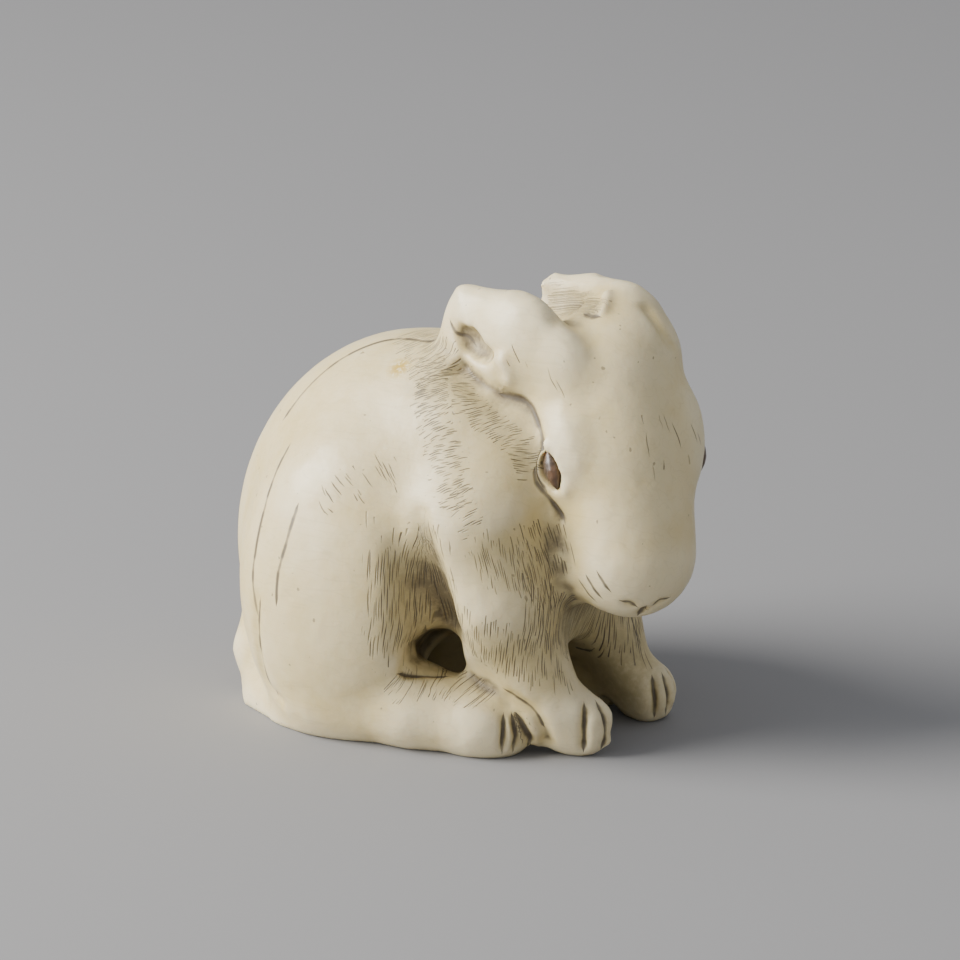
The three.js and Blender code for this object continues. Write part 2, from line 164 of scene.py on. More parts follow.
# A cut is a hollow with clean sides, and the tool goes in square to the surface. A depth below nothing
# leaves a ridge.
CUTS = {
    "neck crease": (
        [
            (-4.0, -1.2, 26.7), (-4.7, -3.0, 25.7), (-5.0, -5.0, 25.0), (-4.8, -6.9, 24.6), (-5.1, -8.0, 23.6),
            (-5.7, -8.8, 22.2), (-6.0, -9.0, 20.6), (-5.9, -9.6, 18.7), (-5.6, -10.4, 17.3),
        ],
        (0.8, 0.2), (0.4, 0.4), (1.4, 0.8),
    ),
    "hock": ([(-10.5, -0.5, 5.7), (-8.9, -1.6, 5.4), (-7.6, -2.8, 5.1)], (0.3, 0.15), (0.4, 0.4), (0.3, 0.3)),
    "heel": (
        [(-7.6, -7.2, 5.0), (-7.0, -9.2, 3.6), (-6.3, -9.7, 2.2), (-5.5, -9.4, 0.6)],
        (0.15, 0.45), (0.5, 0.5), (0.4, 0.4),
    ),
    "ear hollow": (
        [(-3.9, -1.9, 28.5), (-4.3, -3.1, 27.9), (-4.7, -4.6, 27.1)], (0.3, 0.9), (0.6, 0.6), (0.6, 0.6),
    ),
    "ear fold": (
        [(-4.6, -5.2, 28.0), (-4.9, -5.9, 26.6), (-4.9, -5.9, 25.4)], (-0.35, -0.3), (0.6, 0.6), (0.6, 0.6),
    ),
    "far ear hollow": (
        [(1.6, -7.2, 30.4), (0.9, -8.8, 30.5), (0.6, -9.6, 30.5)], (0.0, 0.4), (0.5, 0.4), (0.5, 0.4),
    ),
    "far ear rim": (
        [(-0.7, -10.5, 30.0), (0.5, -10.2, 30.6), (2.2, -9.3, 31.2)], (-0.35, -0.25), (0.4, 0.4), (0.4, 0.4),
    ),
    "far ear root": (
        [(2.4, -11.9, 30.7), (1.8, -14.1, 28.8), (2.7, -14.6, 27.5)], (0.3, 0.15), (0.5, 0.5), (0.5, 0.5),
    ),
    "eye corner": (
        [(-6.0, -8.6, 20.6), (-6.1, -8.9, 19.6), (-5.8, -9.6, 18.6), (-5.5, -10.3, 17.5), (-5.4, -10.7, 16.8)],
        (0.2, 0.4), (0.25, 0.3), (0.3, 0.35),
    ),
    "upper lid": (
        [(-5.3, -8.9, 22.6), (-5.5, -10.2, 21.8), (-5.4, -11.0, 20.2), (-5.4, -11.1, 18.6)],
        (-0.15, -0.1), (0.3, 0.3), (0.3, 0.3),
    ),
    "tail seam": (
        [(-12.6, 9.6, 10.6), (-12.3, 9.9, 6.8), (-11.4, 9.9, 3.6), (-11.4, 7.9, 2.2)],
        (0.1, 0.3), (0.5, 0.5), (0.5, 0.5),
    ),
    "right nostril": (
        in_head((-1.75, -3.1, -9.9), (-1.1, -3.2, -10.25), (-0.5, -3.0, -10.5)),
        (0.1, 0.35), (0.3, 0.3), (0.3, 0.3),
    ),
    "left nostril": (
        in_head((0.55, -3.0, -10.5), (1.1, -3.2, -10.3), (1.75, -3.1, -10.0)),
        (0.35, 0.1), (0.3, 0.3), (0.3, 0.3),
    ),
    "lip": (
        in_head((0.1, -3.05, -10.4), (0.05, -2.4, -10.9), (-0.1, -1.7, -11.2)),
        (0.3, 0.3), (0.32, 0.32), (0.32, 0.32),
    ),
}

# Where handling has worn the edges round: a middle, and how far from it.
SOFTENED = (
    ((2.6, -5.8, 30.2), 2.6), ((1.2, -8.0, 30.2), 2.0), ((-2.8, 0.4, 29.4), 2.0), ((-1.6, -4.8, 30.2), 1.6),
)
SOFT_ROUNDS = 90

# Where old stain has gathered, with painted shade as well on the far foreleg's inner side, in the flank hollow,
# under the chin and in the ear holes: a middle, how far it reaches, and how strong it is.
STAINS_AND_PAINTED_SHADE = (
    # Stain and painted shade: the far foreleg's inner side, which the head and body shade.
    ((3.6, -9.6, 3.0), 5.0, 0.9),
    # Stain and painted shade in the flank hollow.
    ((-9.6, -2.6, 8.4), 2.6, 0.9),
    ((-5.2, -0.4, 25.6), 3.4, 0.5),
    # Stain and painted shade under the chin.
    ((-2.0, -9.6, 8.6), 4.0, 0.6),
    ((-5.9, -8.4, 21.4), 1.8, 0.5),
    # Stain and painted shade in the ear holes.
    ((-4.3, -3.1, 27.9), 1.2, 0.7),
    ((-0.3, -9.6, 30.2), 1.2, 0.8),
    ((1.8, -7.0, 30.4), 2.6, 0.3),
    ((-5.3, -4.6, 24.7), 3.2, 0.4),
    ((-8.2, -2.8, 22.0), 3.0, 0.2),
    ((-3.4, -12.2, 2.2), 1.8, 0.5),
    ((-6.8, -8.2, 2.0), 1.8, 0.6),
    ((-10.8, 1.8, 19.2), 3.4, 0.16),
    ((-7.4, 0.6, 23.4), 3.6, 0.16),
)
SPOT, SPOT_REACH, SPOT_FULL = (-4.8, 3.0, 25.5), 1.3, 0.2  # a yellow spot on the back

# Relief that is too fine for the mesh, in millimetres.
ENGRAVED_DEPTH = 0.05
WAVE_HEIGHT = 0.05
TOOTH_HEIGHT = 0.004

# Grooves between the toes fan out round the middle of a paw. Each entry is that middle, how far out they
# are, how high they start, and their bearings in degrees from straight ahead.
TOES = (
    ((-3.2, -10.2), 2.6, 3.8, (-44, -8, 24, 58)),
    ((5.2, -10.5), 2.4, 3.5, (-36, -4, 28)),
    ((-6.4, -6.2), 2.3, 3.2, (-50, -26, 4, 34)),
    ((6.4, -6.2), 2.3, 3.2, (-32, 4, 40)),
)
TOE_DEPTH, TOE_WIDTH, TOE_INK = 0.36, 0.26, 0.2
TOE_SLOPE = 0.8  # how much further in a groove starts than it ends
TOE_FOOT = 0.1  # how high it ends

# A line is only drawn. Each entry is its guide's points, its half width, and the map that holds it.
LINES = {
    "spine crack": (
        [(-2.9, 1.4, 27.8), (-1.7, 5.2, 26.4), (-3.1, 8.2, 25.2), (-4.8, 10.2, 23.4), (-6.4, 11.8, 20.8)],
        0.2, 0,
    ),
    "rump crack": (
        [(-8.9, 9.3, 20.0), (-11.0, 9.7, 17.1), (-11.8, 9.9, 14.7), (-12.3, 10.2, 11.3), (-12.5, 9.8, 8.6)],
        0.19, 0,
    ),
    "haunch crack": ([(-12.2, 6.4, 17.1), (-12.8, 6.9, 14.6), (-13.1, 7.5, 12.0), (-13.2, 7.6, 9.9)], 0.16, 1),
    "low crack": ([(-12.7, 9.3, 9.9), (-12.2, 9.8, 6.2), (-11.4, 9.0, 2.6)], 0.19, 1),
    "upper whisker": ([(-5.9, -13.6, 14.0), (-5.4, -14.4, 12.7)], 0.15, 0),
    "middle whisker": ([(-5.8, -12.6, 13.6), (-5.2, -13.6, 12.0)], 0.15, 1),
    "lower whisker": ([(-5.6, -11.8, 13.0), (-4.9, -12.9, 11.5)], 0.11, 0),
    "right nostril": (CUTS["right nostril"][0], 0.2, 0),
    "left nostril": (CUTS["left nostril"][0], 0.18, 1),
    "lip": (CUTS["lip"][0], 0.26, 0),
    "eye corner": (CUTS["eye corner"][0], 0.2, 0),
    # Stain in the crease, and painted shade where the head overhangs the neck.
    "neck crease": (CUTS["neck crease"][0][2:8], 0.2, 1),
    "heel": (CUTS["heel"][0][:3], 0.14, 1),
    "hock": (CUTS["hock"][0], 0.16, 0),
    # Stain and painted shade in the ear holes.
    "ear hollow": ([(-3.6, -0.1, 29.0), (-3.4, -0.7, 28.2), (-3.3, -1.6, 28.0), (-3.4, -2.2, 27.5)], 0.16, 0),
    "far ear hollow": ([(-0.3, -9.0, 30.0), (-0.7, -9.7, 30.1), (-0.7, -10.5, 30.1)], 0.28, 0),
}
LINE_MAPS = 2


def toe_guides():
    """The guide of each groove between the toes, from the top of the paw down its front."""
    for (x, y), reach, top, bearings in TOES:
        for bearing in map(math.radians, bearings):
            out = Vector((math.sin(bearing), -math.cos(bearing)))
            yield [
                (x + out.x * (reach - TOE_SLOPE), y + out.y * (reach - TOE_SLOPE), top),
                (x + out.x * reach, y + out.y * reach, top * 0.5),
                (x + out.x * reach, y + out.y * reach, TOE_FOOT),
            ]


# ---- node trees


class Tree:
    """Adds nodes to a tree from expressions. An input is a socket or a plain value."""

    def __init__(self, tree):
        self.tree = tree

    def node(self, kind, inputs=None, **settings):
        node = self.tree.nodes.new(kind)
        for name, value in settings.items():
            setattr(node, name, value)
        for name, value in (inputs or {}).items():
            self.feed(node.inputs[name], value)
        return node

    def feed(self, socket, value):
        if isinstance(value, bpy.types.NodeSocket):
            self.tree.links.new(value, socket)
        else:
            socket.default_value = value

    def math(self, operation, *values, clamp=False):
        node = self.node("ShaderNodeMath", dict(enumerate(values)), operation=operation, use_clamp=clamp)
        return node.outputs[0]

    def vector(self, operation, *values, scale=None):
        node = self.node("ShaderNodeVectorMath", dict(enumerate(values)), operation=operation)
        if scale is not None:
            self.feed(node.inputs["Scale"], scale)
        return node.outputs["Value" if operation in ("DOT_PRODUCT", "LENGTH", "DISTANCE") else "Vector"]

    def pack(self, x, y, z=0.0):
        return self.node("ShaderNodeCombineXYZ", {0: x, 1: y, 2: z}).outputs[0]

    def unpack(self, vector):
        return self.node("ShaderNodeSeparateXYZ", {0: vector}).outputs

    def ramp(self, value, low, high, bottom=0.0, top=1.0):
        """A smooth step from bottom to top as the value goes from low to high."""
        limits = {"Value": value, "From Min": low, "From Max": high, "To Min": bottom, "To Max": top}
        return self.node("ShaderNodeMapRange", limits, interpolation_type="SMOOTHSTEP").outputs[0]

    def noise(self, vector, scale, detail=2.0, roughness=0.5, distortion=0.0):
        inputs = {"Vector": vector, "Scale": scale, "Detail": detail, "Roughness": roughness}
        return self.node("ShaderNodeTexNoise", {**inputs, "Distortion": distortion}).outputs["Fac"]

    def chance(self, vector):
        """A number from 0 to 1, the same wherever the vector is the same."""
        return self.node("ShaderNodeTexWhiteNoise", {"Vector": vector}).outputs["Value"]

    def mix(self, factor, a, b, blend="MIX"):
        node = self.node("ShaderNodeMix", data_type="RGBA", blend_type=blend)
        self.feed(node.inputs[0], factor)
        self.feed(node.inputs[6], a)
        self.feed(node.inputs[7], b)
        return node.outputs[2]

    def attribute(self, name, output="Vector"):
        return self.node("ShaderNodeAttribute", attribute_name=name).outputs[output]

    def use(self, group, **inputs):
        node = self.node("ShaderNodeGroup", node_tree=group)
        for name, value in inputs.items():
            self.feed(node.inputs[name.replace("_", " ").title()], value)
        return node.outputs


def new_group(name, inputs, outputs):
    """A shader node group. Each socket is a name with its kind, and an input has its default too."""
    group = bpy.data.node_groups.new(name, "ShaderNodeTree")
    for title, kind, default in inputs:
        socket = group.interface.new_socket(title, in_out="INPUT", socket_type=f"NodeSocket{kind}")
        socket.default_value = default
    for title, kind in outputs:
        group.interface.new_socket(title, in_out="OUTPUT", socket_type=f"NodeSocket{kind}")
    tree = Tree(group)
    return group, tree, tree.node("NodeGroupInput").outputs, tree.node("NodeGroupOutput").inputs


def strokes_group():
    """Short tapered strokes side by side, as a fine burin leaves them when it engraves hair.

    Guide holds millimetres along the hair, millimetres across it, and how dense the strokes are, from 0 to 1.
    """
    group, tree, given, out = new_group(
        "Engraved Hair",
        [
            ("Guide", "Vector", (0, 0, 0)),
            ("Spacing", "Float", 0.4),
            ("Length", "Float", 2.4),
            ("Width", "Float", 0.13),
            ("Seed", "Float", 0.0),
        ],
        [("Mask", "Float"), ("Depth", "Float")],
    )
    along, across, density = tree.unpack(given["Guide"])

    # Strokes lie in lanes that sway a little, and each lane is cut into lengths that start at their own place.
    sway = tree.noise(tree.pack(along, across, given["Seed"]), scale=0.35, detail=1.0)
    drift = tree.math("MULTIPLY", tree.math("SUBTRACT", sway, 0.5), given["Spacing"])
    lane = tree.math("DIVIDE", tree.math("ADD", across, tree.math("MULTIPLY", drift, 2.4)), given["Spacing"])
    row = tree.math("FLOOR", lane)
    shift = tree.chance(tree.pack(row, given["Seed"], 0.5))
    run = tree.math("ADD", tree.math("DIVIDE", along, given["Length"]), tree.math("MULTIPLY", shift, 7.0))
    cell = tree.math("FLOOR", run)

    # Each stroke has its own chance of being there, its own tilt in the lane, and its own force.
    luck = tree.chance(tree.pack(row, cell, given["Seed"]))
    skew = tree.chance(tree.pack(cell, row, tree.math("ADD", given["Seed"], 3.7)))
    force = tree.chance(tree.pack(cell, tree.math("ADD", row, 5.3), given["Seed"]))
    place = tree.math("SUBTRACT", tree.math("FRACT", run), 0.5)
    reach = tree.math("MULTIPLY_ADD", force, 0.22, 0.24)
    taper = tree.ramp(tree.math("ABSOLUTE", place), reach, tree.math("MULTIPLY", reach, 0.35))
    slant = tree.math("MULTIPLY", place, tree.math("MULTIPLY_ADD", skew, 0.7, -0.35))
    middle = tree.math("ADD", tree.math("MULTIPLY_ADD", skew, 0.44, 0.28), slant)

    # It is widest at its middle, and inked as hard as it was cut.
    offset = tree.math("ABSOLUTE", tree.math("SUBTRACT", tree.math("FRACT", lane), middle))
    distance = tree.math("MULTIPLY", offset, given["Spacing"])
    half = tree.math("MULTIPLY", tree.math("MULTIPLY", given["Width"], 0.5), taper)
    edge = tree.math("MULTIPLY_ADD", half, 1.3, 0.01)
    line = tree.ramp(distance, edge, tree.math("MULTIPLY", half, 0.35))
    there = tree.ramp(luck, density, tree.math("MULTIPLY", density, 0.9))
    ink = tree.math("MULTIPLY_ADD", force, 0.55, 0.45)
    line = tree.math("MULTIPLY", tree.math("MULTIPLY", line, there), tree.math("GREATER_THAN", taper, 0.02))
    tree.feed(out["Mask"], tree.math("MULTIPLY", line, ink))
    tree.feed(out["Depth"], line)
    return group


def scratch_group():
    """One engraved or cracked line. Guide holds millimetres along it and across it, and its half width."""
    group, tree, given, out = new_group(
        "Cut Line",
        [("Guide", "Vector", (0, 0, 0)), ("Waver", "Float", 0.08), ("Breaks", "Float", 0.25)],
        [("Mask", "Float")],
    )
    along, across, half = tree.unpack(given["Guide"])
    drift = tree.noise(tree.pack(along, half, 4.2), scale=1.1, detail=1.0)
    across = tree.math("ADD", across, tree.math("MULTIPLY", tree.math("SUBTRACT", drift, 0.5), given["Waver"]))
    faint = tree.noise(tree.pack(along, 2.7), scale=0.9, detail=1.0)
    strength = tree.ramp(faint, given["Breaks"], 0.55, bottom=0.65)
    width = tree.math("MULTIPLY", half, strength)
    edge, core = tree.math("MULTIPLY", width, 1.3), tree.math("MULTIPLY", width, 0.3)
    line = tree.ramp(tree.math("ABSOLUTE", across), edge, core)
    cut = tree.math("MULTIPLY", line, tree.math("GREATER_THAN", half, 0.008))
    tree.feed(out["Mask"], tree.math("MULTIPLY", cut, strength))
    return group


# ---- ivory and horn


def empty_material(name):
    """A material with no nodes yet, its tree, and the place on the piece in millimetres."""
    material = bpy.data.materials.new(name)
    material.use_nodes = True
    material.node_tree.nodes.clear()
    tree = Tree(material.node_tree)
    place = tree.vector("SCALE", tree.node("ShaderNodeTexCoord").outputs["Object"], scale=1 / MM)
    return material, tree, place


def principled(tree, base, roughness):
    """The material's shader, joined to its output."""
    shader = tree.node("ShaderNodeBsdfPrincipled")
    tree.feed(shader.inputs["Base Color"], base)
    tree.feed(shader.inputs["Roughness"], roughness)
    surface = tree.node("ShaderNodeOutputMaterial")
    tree.feed(surface.inputs["Surface"], shader.outputs[0])
    return shader


def opaque(colour):
    return (*colour, 1)


def grain_lines(tree, place):
    """The faint growth lines of the tusk, which run along the carving."""
    stretched = tree.vector("MULTIPLY", place, (0.9, 0.05, 0.9))
    lines = tree.noise(stretched, scale=1.3, detail=1.0, distortion=0.4)
    return tree.ramp(tree.math("ABSOLUTE", tree.math("SUBTRACT", lines, 0.5)), 0.03, 0.0)


def engraving(tree):
    """The mask and the depth of the engraved hair, and the mask of the drawn lines."""
    strokes = strokes_group()
    hair, depth = 0.0, 0.0
    for layer, (spacing, length, width, seed) in enumerate(HAIR_LAYERS):
        guide = tree.attribute(f"hair_{layer}")
        engraved = tree.use(strokes, guide=guide, spacing=spacing, length=length, width=width, seed=seed)
        hair = tree.math("MAXIMUM", hair, engraved["Mask"])
        depth = tree.math("MAXIMUM", depth, engraved["Depth"])
    scratch = scratch_group()
    cuts = 0.0
    for layer in range(LINE_MAPS):
        line = tree.use(scratch, guide=tree.attribute(f"line_{layer}"))
        cuts = tree.math("MAXIMUM", cuts, line["Mask"])
    return hair, depth, cuts


def ivory_material(look):
    """Polished old ivory: pale and warm in drifts, stained brown in hollows and in every engraved line, with
    painted shade where the carving hides its own sky and a painted highlight on its high spots.
    """
    material, tree, place = empty_material("Ivory")
    hair, depth, cuts = engraving(tree)
    # Hollow and stain carry painted shade as well as stain, and polish carries a painted highlight as well as
    # wear.
    hollow, stain_and_shade, polish_and_highlight = tree.unpack(tree.attribute("wear_and_painted_light"))

    # Clean ivory, paler on high spots with worn polish and a painted highlight
    drift = tree.noise(place, scale=0.11, detail=2.0, roughness=0.55)
    mottle = tree.noise(place, scale=0.55, detail=3.0, roughness=0.6)
    speck = tree.noise(place, scale=2.6, detail=2.0, roughness=0.65)
    yellowed = tree.math("MULTIPLY_ADD", mottle, 0.35, tree.math("MULTIPLY", drift, 0.65))
    base = tree.mix(tree.ramp(yellowed, 0.38, 0.66), opaque(look.pale), opaque(look.warm))
    base = tree.mix(tree.math("MULTIPLY", polish_and_highlight, 0.8), base, opaque(look.polished))
    base = tree.mix(tree.math("MULTIPLY", grain_lines(tree, place), 0.07), base, opaque(look.stain_and_shade))

    # A yellow spot, and small pits that hold stain
    spot = tree.ramp(tree.vector("DISTANCE", place, SPOT), SPOT_REACH, SPOT_FULL)
    spot = tree.math("MULTIPLY", spot, tree.ramp(speck, 0.4, 0.54))
    base = tree.mix(spot, base, opaque(look.spot))
    pits = tree.ramp(tree.noise(place, scale=1.7, detail=1.0), 0.755, 0.79)
    base = tree.mix(tree.math("MULTIPLY", pits, 0.6), base, opaque(look.stain_and_shade))

    # The stain, with painted shade: a thin film, darker where the carving hides its own sky, then what lies deep
    # in the hollows, with painted shade where the carving shelters itself, then what fills the engraving
    patchy = tree.math("MULTIPLY_ADD", speck, 0.7, tree.math("MULTIPLY", mottle, 0.5))
    film = tree.math("MULTIPLY", stain_and_shade, tree.ramp(patchy, 0.35, 0.75, bottom=0.55))
    base = tree.mix(film, base, opaque(look.film))
    # The hollows darken partly with stain and partly with painted shade where other parts of the carving hide
    # the sky.
    deep = tree.math("MULTIPLY", hollow, tree.ramp(patchy, 0.3, 0.7, bottom=0.45, top=0.85), clamp=True)
    base = tree.mix(deep, base, opaque(look.stain_and_shade))
    ink = tree.math("MULTIPLY", hair, tree.ramp(stain_and_shade, 0.0, 0.7, bottom=look.ink_on_top), clamp=True)
    base = tree.mix(ink, base, opaque(look.ink))
    base = tree.mix(tree.math("MULTIPLY", cuts, 0.9), base, opaque(look.ink))

    rough = tree.ramp(mottle, 0.3, 0.7, bottom=0.38, top=0.48)
    rough = tree.math("ADD", rough, tree.math("MULTIPLY", tree.math("MAXIMUM", hollow, film), 0.25))
    shader = principled(tree, base, rough)
    relief = tree.math("MULTIPLY", depth, -ENGRAVED_DEPTH)
    relief = tree.math("SUBTRACT", relief, tree.math("MULTIPLY", cuts, ENGRAVED_DEPTH))
    waves = tree.noise(place, scale=0.9, detail=2.0, roughness=0.6)
    relief = tree.math("MULTIPLY_ADD", waves, WAVE_HEIGHT, relief)
    relief = tree.math("MULTIPLY_ADD", tree.noise(place, scale=5.0, detail=1.0), TOOTH_HEIGHT, relief)
    bump = tree.node("ShaderNodeBump", {"Strength": 0.8, "Distance": MM, "Height": relief})
    tree.feed(shader.inputs["Normal"], bump.outputs[0])
    shader.inputs["IOR"].default_value = 1.54
    shader.inputs["Subsurface Weight"].default_value = look.translucence
    shader.inputs["Subsurface Radius"].default_value = (1.0, 0.7, 0.4)
    shader.inputs["Subsurface Scale"].default_value = 0.8 * MM
    shader.inputs["Coat Weight"].default_value = 0.07
    shader.inputs["Coat Roughness"].default_value = 0.18
    return material


def horn_material(look):
    """Dark horn, polished, amber where light passes through its rim."""
    material, tree, place = empty_material("Horn")
    cloud = tree.noise(place, scale=0.8, detail=3.0)
    threads = tree.noise(tree.vector("MULTIPLY", place, (3.0, 3.0, 0.6)), scale=2.4, detail=3.0, roughness=0.6)
    base = tree.mix(tree.ramp(cloud, 0.35, 0.65), opaque(look.dark), opaque(look.amber))
    base = tree.mix(tree.math("MULTIPLY", tree.ramp(threads, 0.45, 0.7), 0.35), base, opaque(look.pale))
    shader = principled(tree, base, tree.ramp(threads, 0.3, 0.7, bottom=0.34, top=0.46))
    shader.inputs["IOR"].default_value = 1.55
    shader.inputs["Coat Weight"].default_value = 0.12
    shader.inputs["Coat Roughness"].default_value = 0.1
    return material


# ---- meshes

WELD = 0.001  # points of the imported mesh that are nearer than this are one
COARSE_STEP, FINE_STEP = 0.5, 0.2  # the spacing of a curve's points, for hair and for cuts and lines
BATCH = 4000  # how many points are measured against a curve at a time
TINY = 1e-9
HANGING_OFF = 2.6  # how far from its guide's upright curtain a point may lie and still have hanging hair

# Easing in by one factor and out by the other evens a surface without shrinking it.
RELAX_IN, RELAX_OUT = 0.5, -0.53
RELAX_ROUNDS = 30
REFINED_ROUNDS = 2
EYE_ROUNDS = 8
HALF_WAY = 0.5


def select_only(piece):
    bpy.ops.object.select_all(action="DESELECT")
    piece.select_set(True)
    bpy.context.view_layer.objects.active = piece


def copy_of(node, name):
    """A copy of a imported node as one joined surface."""
    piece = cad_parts[node].copy()
    piece.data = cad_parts[node].data.copy()
    piece.name = piece.data.name = name
    piece.parent = None
    for key in list(piece.keys()):
        del piece[key]
    piece.data.materials.clear()
    bpy.context.scene.collection.objects.link(piece)
    select_only(piece)
    bpy.ops.object.mode_set(mode="EDIT")
    bpy.ops.mesh.select_all(action="SELECT")
    bpy.ops.mesh.remove_doubles(threshold=WELD * MM)
    bpy.ops.object.mode_set(mode="OBJECT")
    return piece


def box_of(node):
    """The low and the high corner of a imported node's box, in millimetres."""
    return [np.array(corner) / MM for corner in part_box(node)]


def remesh(piece, pitch):
    """Gives a piece's surface points at an even pitch."""
    select_only(piece)
    modifier = piece.modifiers.new("Remesh", "REMESH")
    modifier.mode = "VOXEL"
    modifier.voxel_size = pitch
    bpy.ops.object.modifier_apply(modifier=modifier.name)


def dress(piece, material):
    piece.data.materials.append(material)
    piece.data.polygons.foreach_set("use_smooth", [True] * len(piece.data.polygons))
    return piece


def read_vectors(points, attribute):
    flat = np.empty(len(points) * 3, np.float32)
    points.foreach_get(attribute, flat)
    return flat.reshape(-1, 3).astype(float)


def read_points(mesh):
    """The mesh's points in millimetres."""
    return read_vectors(mesh.vertices, "co") / MM


def read_normals(mesh):
    return read_vectors(mesh.vertices, "normal")


def write_points(mesh, points):
    mesh.vertices.foreach_set("co", (points * MM).astype(np.float32).ravel())
    mesh.update()


def read_edges(mesh):
    flat = np.empty(len(mesh.edges) * 2, np.int32)
    mesh.edges.foreach_get("vertices", flat)
    return flat.reshape(-1, 2)


def neighbour_mean(values, edges):
    """The mean of each point's neighbours, for an array of numbers or of vectors."""
    count = np.bincount(edges.ravel(), minlength=len(values))
    columns = values.reshape(len(values), -1)
    total = np.empty_like(columns)
    for k in range(columns.shape[1]):
        near = np.bincount(edges[:, 0], columns[edges[:, 1], k], len(values))
        total[:, k] = near + np.bincount(edges[:, 1], columns[edges[:, 0], k], len(values))
    return (total / count[:, None]).reshape(values.shape)


def ease(values, edges, rounds, factor=1.0):
    """Moves each value towards the mean of its neighbours, by a factor of the way."""
    for _ in range(rounds):
        values = values + factor * (neighbour_mean(values, edges) - values)
    return values


def relax(points, edges, rounds):
    for _ in range(rounds):
        points = ease(ease(points, edges, 1, RELAX_IN), edges, 1, RELAX_OUT)
    return points


def smooth_step(value, low, high):
    t = np.clip((value - low) / (high - low), 0, 1)
    return t * t * (3 - 2 * t)


def nearness(points, middle, reach, full):
    """From 0 at the reach to 1 within the full share of it."""
    return smooth_step(np.linalg.norm(points - middle, axis=1), reach, reach * full)


def between(ends, t):
    """From the first of two values to the second, as t goes from 0 to 1."""
    return ends[0] + (ends[1] - ends[0]) * t


class Surface:
    """The carving's surface, for snapping guides to it."""

    def __init__(self, piece):
        piece.data.calc_loop_triangles()
        points = read_points(piece.data)
        faces = [tuple(t.vertices) for t in piece.data.loop_triangles]
        self.tree = BVHTree.FromPolygons([tuple(p) for p in points], faces)

    def snap(self, points):
        found = [self.tree.find_nearest(Vector(p)) for p in points]
        return np.array([f[0] for f in found]), np.array([f[1] for f in found])

    def trace(self, guide, step=FINE_STEP):
        """A smooth curve through the guide's points, laid on the surface, with the normals along it."""
        knots, _ = self.snap(guide)
        knots = np.vstack([2 * knots[0] - knots[1], knots, 2 * knots[-1] - knots[-2]])
        line = []
        for a, b, c, d in zip(knots, knots[1:], knots[2:], knots[3:]):
            count = max(2, int(np.linalg.norm(c - b) / step))
            t = np.arange(count)[:, None] / count
            bend = (2 * a - 5 * b + 4 * c - d) * t * t + (3 * b - a - 3 * c + d) * t**3
            line.append((2 * b + (c - a) * t + bend) / 2)
        return self.snap(np.vstack([*line, knots[-2]]))


def beside(points, normals, curve, reach, hanging=False):
    """Measures the points within reach of a curve against it.

    Returns which points they are, how far along the curve each is, how far to its side, how far past its ends
    and how much it faces as the curve does, and then the curve's length. Along a hanging curve distance is
    taken on the level, and beside it straight up and down.
    """
    line, facing = curve
    low, high = line.min(0) - reach, line.max(0) + reach
    near = np.where(((points > low) & (points < high)).all(1))[0]
    starts, rises = line[:-1], np.diff(line[:, 2])
    spans = np.diff(line, axis=0) * (LEVEL if hanging else 1)
    lengths = np.linalg.norm(spans, axis=1)
    arc = np.concatenate([[0], np.cumsum(lengths)])
    along, aside, beyond, alike = np.empty((4, len(near)))
    for first in range(0, len(near), BATCH):
        part = slice(first, first + BATCH)
        normal = normals[near[part]]
        gap = points[near[part]][:, None] - starts
        height = gap[..., 2].copy()
        if hanging:
            gap[..., 2] = 0
        t = (gap * spans).sum(2) / (lengths**2)
        inside = np.clip(t, 0, 1)
        offset = gap - inside[..., None] * spans
        best = np.argmin((offset**2).sum(2), axis=1)
        rows = np.arange(len(best))
        t, inside, offset, height = (values[rows, best] for values in (t, inside, offset, height))
        before, after = (best == 0) & (t < 0), (best == len(spans) - 1) & (t > 1)
        past = np.where(before, t, np.where(after, t - 1, 0)) * lengths[best]
        tangent = spans[best] / lengths[best][:, None]
        left = np.cross(normal, tangent)
        left /= np.linalg.norm(left, axis=1)[:, None] + TINY
        flat = offset - past[:, None] * tangent
        away = np.linalg.norm(flat, axis=1)
        along[part] = arc[best] + inside * lengths[best] + past
        if hanging:
            aside[part] = np.where(away < HANGING_OFF, height - inside * rises[best], reach)
        else:
            aside[part] = np.sign((flat * left).sum(1)) * away
        beyond[part] = np.abs(past)
        alike[part] = (normal * facing[best]).sum(1)
    kept = np.abs(aside) < reach
    return near[kept], along[kept], aside[kept], beyond[kept], alike[kept], arc[-1]


# ---- the carving

# How marks fade. HAIR_FULL is the share of a zone's reach where its hair is densest. An END is a stretch past
# a guide's ends for hair, and within them for cuts and lines. A FACING is how much a point faces as the guide.
HAIR_FULL, HAIR_END, HAIR_FACING = 0.4, (1.4, 0.1), (0.0, 0.35)
HOLLOW_FACING = (-0.6, 0.1)
CUT_END, CUT_FACING = (-0.2, 0.8), (0.1, 0.5)
LINE_END, LINE_FACING, LINE_EDGE = (-0.15, 0.5), 0.3, (0.5, 0.36)
LINE_REACH = 1.0
NO_LINE = 9  # how far aside a point is that no line comes near
ZONE_APART = 50  # keeps the strokes of one zone from matching the next zone's
CUT_WIDTHS = 3  # a cut dies away within this many of its widths
REFINED_DEPTH = 0.04  # where the mesh is made finer for a cut

SOFT_FULL = 0.5  # the share of a softened place that is worn in full
FINE_ROUNDS, WIDE_ROUNDS = 12, 60  # the scales at which a point counts as low
SHELTER_RAYS, SHELTER_FAR, SHELTER_START = 10, 5.0, 0.08
SHELTER_ROUNDS, COAT_ROUNDS = 3, 12

